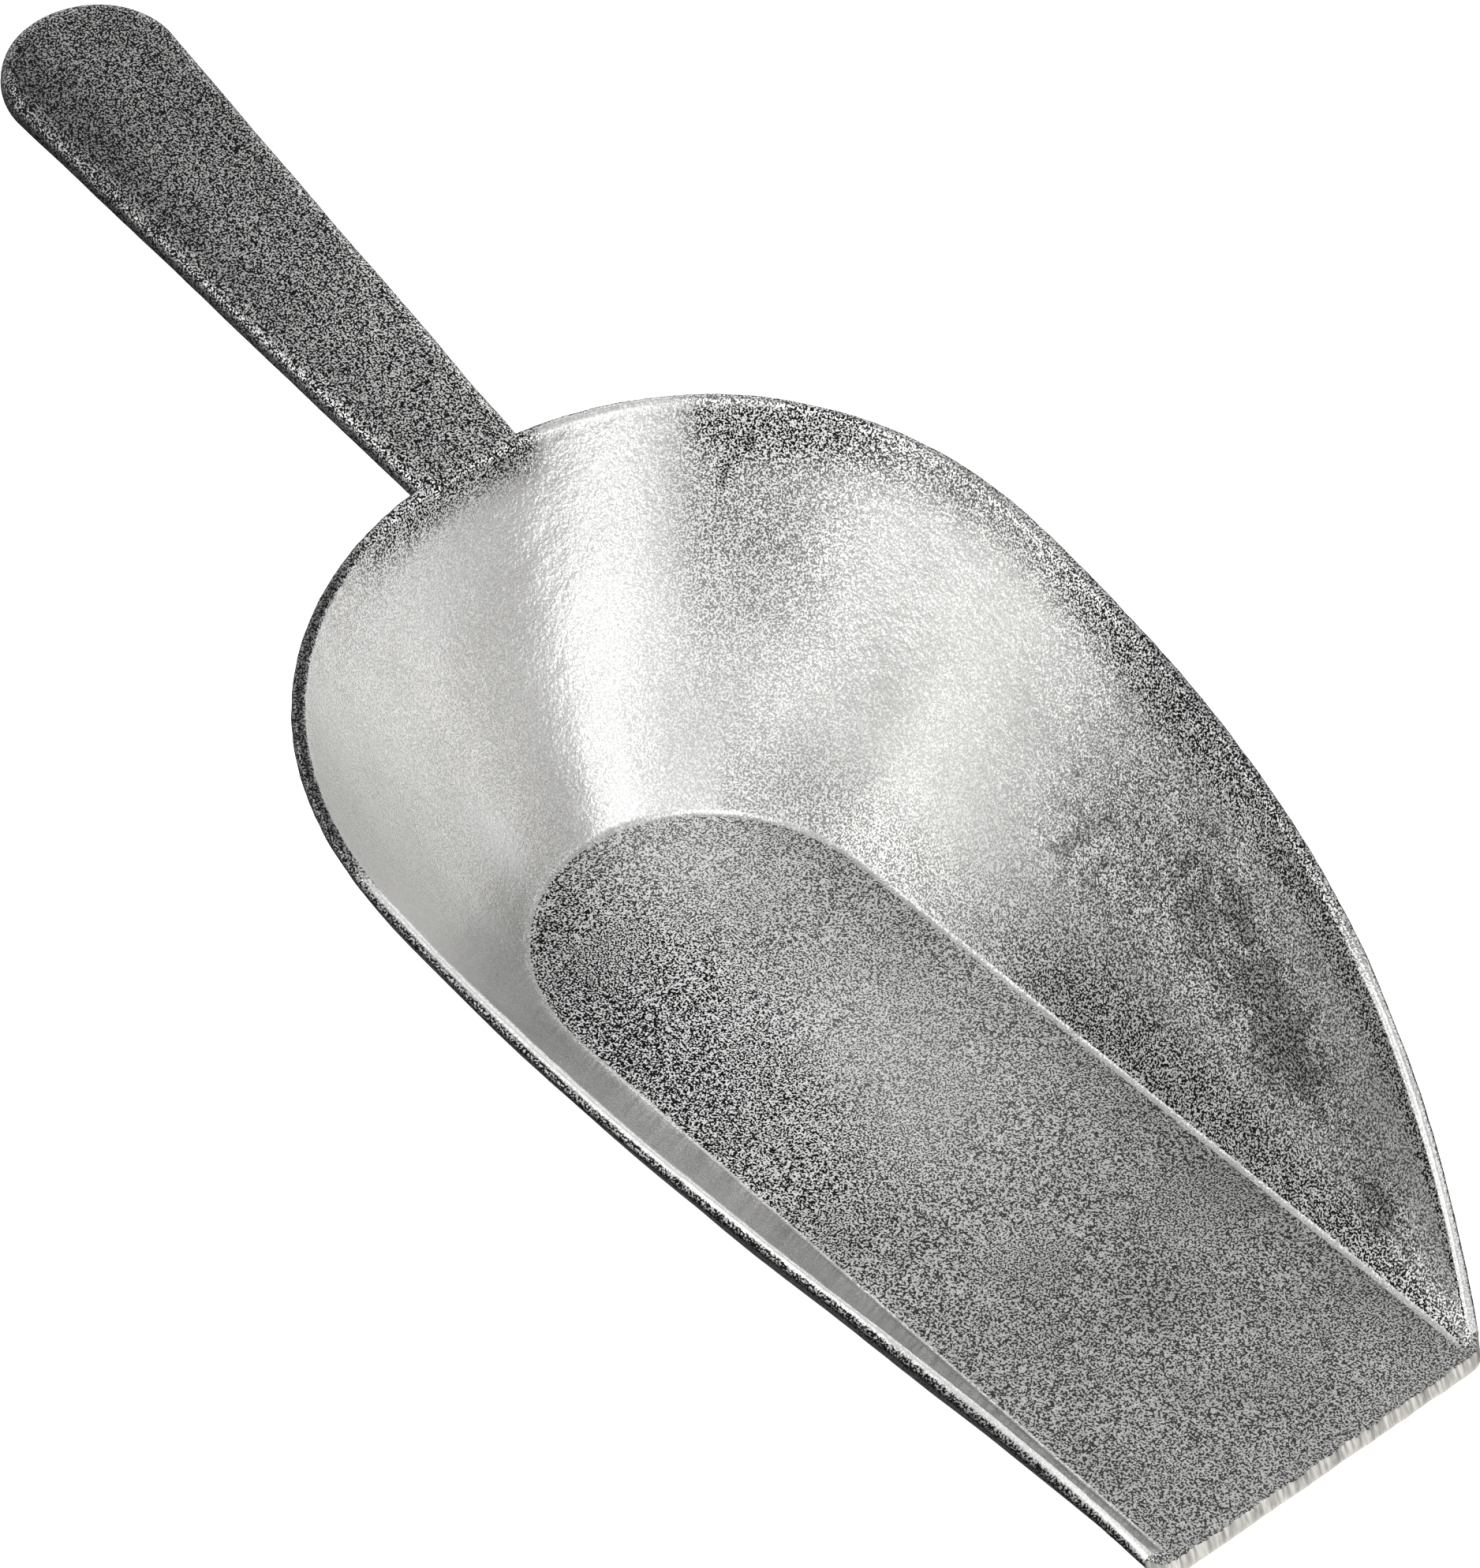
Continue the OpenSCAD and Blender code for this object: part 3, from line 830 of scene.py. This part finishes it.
def closed_loft(name, rings, marks):
    """A piece through closed rings of equal length, with fans at both ends."""
    rings = np.asarray(rings)
    rows, cols = rings.shape[:2]
    points = np.concatenate([rings.reshape(-1, 3), rings[:1].mean(1), rings[-1:].mean(1)])
    faces = grid_faces(rows, cols, wrap=True)
    for c in range(cols):
        d = (c + 1) % cols
        faces.append((c, rows * cols, d))
        faces.append(((rows - 1) * cols + c, (rows - 1) * cols + d, rows * cols + 1))
    return make_piece(name, points, faces, [CAST], marks(points))


def handle_marks(points):
    """Marks of the handle: grimier towards its end, and painted shade that makes it darker towards its
    end and on its -Y side.
    """
    far = smooth(START_X - RIM_BACK_L - points[:, 0], 0, 130)
    minus_y_side_shade = smooth(points[:, 1], 2, -16)
    return {"grime_and_painted_shade": 0.84 + 0.12 * far, "tone_and_painted_light": 1.06 - 0.42 * far - 0.27 * minus_y_side_shade}


def grip_piece():
    """Straight handle from the neck to its half-oval end."""
    stations = spread(NECK_L, HANDLE_TAPER_L, HANDLE_TAPER_L - NECK_L)
    return closed_loft("cast_handle_grip", [handle_ring(a) for a in stations], handle_marks)


def end_piece():
    """Half-oval end; each layer of its edge and faces turns from the +Y side to the -Y side."""
    turn = np.linspace(math.pi / 2, -math.pi / 2, TIP_TURN_STEPS)
    half_w = HANDLE_END_W / 2
    rings = []

    def layer(length, width, up, out, rise):
        """Half ring of the given length and width at a height, facing out and up."""
        along = HANDLE_TAPER_L + length * np.cos(turn)
        points = handle_place(along, width * np.sin(turn), up)
        level = np.cos(turn)[:, None] * ALONG + np.sin(turn)[:, None] * ACROSS
        return relief(points, out * level + rise * UP)

    shares = np.linspace(0, 1, TIP_FACE_STEPS + 1)[:-1]
    for k in shares:
        rings.append(layer(k * (HANDLE_TIP_L - HANDLE_BOTTOM_R), k * (half_w - HANDLE_BOTTOM_R),
                           -HANDLE_T, 0, -1))
    for inset, up, out, rise in zip(EDGE_INSET, EDGE_UP, EDGE_OUT, EDGE_RISE):
        rings.append(layer(HANDLE_TIP_L - inset, half_w - inset, up, out, rise))
    for k in shares[::-1]:
        rings.append(layer(k * (HANDLE_TIP_L - SHOULDER_R), k * (half_w - SHOULDER_R), 0, 0, 1))
    rings = np.asarray(rings)
    rows, cols = rings.shape[:2]
    faces = grid_faces(rows, cols) + closing_faces(rows, cols)
    points = rings.reshape(-1, 3)
    return make_piece("cast_handle_end", points, faces, [CAST], handle_marks(points))


def wall_point(y, depth):
    """Point of the back wall near the handle: depth is measured over the rim, inner face negative."""
    points, facing = wall_skin(np.atleast_1d(rim_step(y)))
    run = points[:, 1:-1]
    turn = facing[:, 1:-1]
    length = np.concatenate([np.zeros((len(run), 1)),
                             np.cumsum(np.linalg.norm(np.diff(run, axis=1), axis=-1), axis=1)], 1)
    mid = run.shape[1] // 2
    place, look = [], []
    for row, side, way, want in zip(run, turn, length, np.atleast_1d(depth)):
        at = way - way[mid]
        place.append([np.interp(want, at, row[:, i]) for i in range(3)])
        look.append([np.interp(want, at, side[:, i]) for i in range(3)])
    return np.array(place), np.array(look)


# The neck, in millimetres; a depth is measured over the rim, with the inner face negative
NECK_ROWS = 14                           # rings from the wall to the corner with the handle
NECK_STRAIGHT_ROWS = 12
NECK_LIFT = 0.4                          # top face over the wall's skin
NECK_CREST = -0.94
NECK_FADE_FROM = -1.6
NECK_FADE_TO = -13.0
NECK_FADE_WIDEN = 0.10                   # how much wider it is, as a share, where it has faded out
NECK_DIP = 0.04                          # faded out, it lies this far under the inner face
NECK_BURY = 0.25                         # its foot stands this far inside the outer face
NECK_SIDE_FILLET = 1.6
NECK_GUSSET = 5.0
NECK_ROUND = 2.0                         # rounding of the corner between wall and handle
NECK_BOTTOM_ROUND = 4.0                  # and what the bottom adds to it
OUTER_TOP = 2.4                          # depth of the handle's top face on the outer face
OUTER_LEAN = 1.08                        # depth on the leaning outer face for each millimetre down


def root_piece():
    """Neck: on top it rolls over the rim and fades into the inner face; its sides and bottom stand on
    the outer face, with a fillet at the sides and a gusset below."""
    across, up, out, rise = handle_section(handle_half_w(0))
    flat_side = facing_of(out, rise)
    over_share = smooth(up, -2.6, -0.8)  # 1 on top, 0 at the sides and bottom

    # Over the rim: points on the wall's skin, lifted to the handle's top face and fading out below
    over_path = []
    for depth in np.linspace(NECK_FADE_TO, NECK_CREST, NECK_ROWS):
        widen = 1 + NECK_FADE_WIDEN * smooth(depth, NECK_CREST, NECK_FADE_TO)
        point, look = wall_point(across * widen, np.full_like(across, depth))
        proud = np.clip(NECK_LIFT + up, -1.2, NECK_LIFT) * smooth(depth, NECK_FADE_TO, NECK_FADE_FROM)
        proud = proud - NECK_DIP
        over_path.append(relief(point, look) + proud[:, None] * look)

    # Sides and bottom: from a loop on the outer face round the corner to the straight handle
    bottom = smooth(up, -HANDLE_T + HANDLE_BOTTOM_R, -HANDLE_T)
    depth = OUTER_TOP - up * OUTER_LEAN
    near, _ = wall_point(across, depth)
    foot, look = wall_point(across + NECK_SIDE_FILLET * out,
                            depth + NECK_GUSSET * bottom * np.maximum(-rise, 0))
    foot = foot - NECK_BURY * look
    reach = (near - HANDLE_ORIGIN) @ ALONG
    corner = handle_place(reach, across, up)
    start = handle_place(reach + NECK_ROUND + NECK_BOTTOM_ROUND * bottom, across, up)
    side_path = [(1 - t) ** 2 * foot + 2 * t * (1 - t) * corner + t ** 2 * start
                 for t in np.linspace(0, 1, NECK_ROWS)]

    share = over_share[:, None]
    rings = [side + (over - side) * share for side, over in zip(side_path, over_path)]
    width = handle_section(handle_half_w(NECK_L))
    straight = handle_place(NECK_L, width[0], width[1])
    last = rings[-1]
    for t in np.linspace(0, 1, NECK_STRAIGHT_ROWS)[1:]:
        ring = last + (straight - last) * t
        rings.append(ring + (relief(ring, flat_side) - ring) * smooth(t, 0, 0.5))
    rings[-1] = handle_ring(NECK_L)
    # A smaller ring inside the wall closes the neck
    core = handle_place(-0.5, across * 0.9, np.clip(up, -5.0, -2.2) - 1.0)
    return closed_loft("cast_handle_root", [core] + rings, root_marks)


def root_marks(points):
    """As the handle, but with the look of the bowl's inner face where the neck fades into it."""
    marks = handle_marks(points)
    along = (points - HANDLE_ORIGIN) @ ALONG
    below = -(points - HANDLE_ORIGIN) @ UP
    at = rim_step(points[:, 1])
    grime_and_painted_shade, tone_and_painted_light, _ = inner_look(at, 1 - below / RIM_H)
    inner = smooth(along, -1.0, -3.0) * smooth(below, 0.0, 5.0)
    marks["grime_and_painted_shade"] = marks["grime_and_painted_shade"] + (grime_and_painted_shade - marks["grime_and_painted_shade"]) * inner
    marks["tone_and_painted_light"] = marks["tone_and_painted_light"] + (tone_and_painted_light - marks["tone_and_painted_light"]) * inner
    return marks


root_piece()
grip_piece()
end_piece()


# ---------------------------------------------------------------- stage, light, camera

STAGE_REACH = 6.0
STAGE_GAP = 0.0004                       # clearance under the casting


def stage_floor():
    """Square of white paper just under the casting."""
    mesh = bpy.data.meshes.new("studio_floor")
    r = STAGE_REACH
    mesh.from_pydata([(-r, -r, 0), (r, -r, 0), (r, r, 0), (-r, r, 0)], [], [(0, 1, 2, 3)])
    mesh.materials.append(paper_material())
    floor = bpy.data.objects.new("studio_floor", mesh)
    floor.location.z = cad_lo.z - STAGE_GAP
    bpy.context.scene.collection.objects.link(floor)
    floor.visible_glossy = False             # the metal mirrors the dim lower surroundings instead


# What the camera and the lights look at, near the middle of the bowl
TARGET = Vector((START_X - 10.0, 13.3, 35.0)) * MM


def direction(azimuth, elevation):
    """Unit vector from the target; azimuth 0 is -Y and 90 is +X."""
    a = math.radians(azimuth)
    e = math.radians(elevation)
    return Vector((math.sin(a) * math.cos(e), -math.cos(a) * math.cos(e), math.sin(e)))


def aimed(name, data, azimuth, elevation, distance):
    """A light or camera at a direction and distance from the target, looking at it."""
    made = bpy.data.objects.new(name, data)
    made.location = TARGET + direction(azimuth, elevation) * distance
    made.rotation_mode = "QUATERNION"
    made.rotation_quaternion = (TARGET - made.location).to_track_quat("-Z", "Y")
    bpy.context.scene.collection.objects.link(made)
    return made


def soft_box(name, azimuth, elevation, distance, width, height, power):
    """Rectangular light; sizes in metres and power in watts."""
    data = bpy.data.lights.new(name, "AREA")
    data.shape = "RECTANGLE"
    data.size = width
    data.size_y = height
    data.energy = power
    aimed(name, data, azimuth, elevation, distance)


# Brightness of the surroundings by height: -1 is straight down, 0 the horizon and 1 straight up
SKY = [(-1.0, 0.05), (-0.6, 0.10), (-0.15, 0.85), (0.0, 1.0),
       (0.64, 1.0), (0.76, 0.64), (0.90, 0.46), (0.96, 1.0)]


def studio_world():
    """Soft surroundings, brighter at the horizon than overhead."""
    world = bpy.data.worlds.new("studio")
    world.use_nodes = True
    nodes = world.node_tree.nodes
    links = world.node_tree.links
    place = node(nodes, "ShaderNodeTexCoord")
    split = node(nodes, "ShaderNodeSeparateXYZ")
    links.new(place.outputs["Generated"], split.inputs[0])
    lift = node(nodes, "ShaderNodeMath", operation="MULTIPLY_ADD")
    links.new(split.outputs["Z"], lift.inputs[0])
    lift.inputs[1].default_value = 0.5
    lift.inputs[2].default_value = 0.5
    ramp = node(nodes, "ShaderNodeValToRGB")
    stops = ramp.color_ramp.elements
    while len(stops) < len(SKY):
        stops.new(0.5)
    for stop, (height, level) in zip(stops, SKY):
        stop.position = (height + 1) / 2
        stop.color = (level, level, level, 1)
    links.new(lift.outputs[0], ramp.inputs["Fac"])
    links.new(ramp.outputs["Color"], nodes["Background"].inputs["Color"])
    bpy.context.scene.world = world


VIEW_AZIMUTH = 49.42
VIEW_ELEVATION = 44.26
VIEW_DISTANCE = 1.428
VIEW_LENS = 163.0


def camera():
    """Camera in front of the casting's left side, looking down into the bowl."""
    data = bpy.data.cameras.new("camera")
    data.sensor_width = 36.0
    data.lens = VIEW_LENS
    data.clip_end = 20.0
    bpy.context.scene.camera = aimed("camera", data, VIEW_AZIMUTH, VIEW_ELEVATION, VIEW_DISTANCE)


stage_floor()
studio_world()
# Azimuth, elevation, distance, width, height and power
soft_box("front_box", 95, 4, 1.2, 0.50, 0.84, 1.18)
soft_box("side_box", -6, 16, 1.2, 1.7, 0.5, 2.3)
soft_box("key_box", 44, 62, 1.6, 1.0, 1.2, 6.0)
soft_box("line_box", -58, 40, 1.4, 0.6, 0.5, 1.6)
camera()
bpy.context.scene.view_settings.view_transform = "Standard"
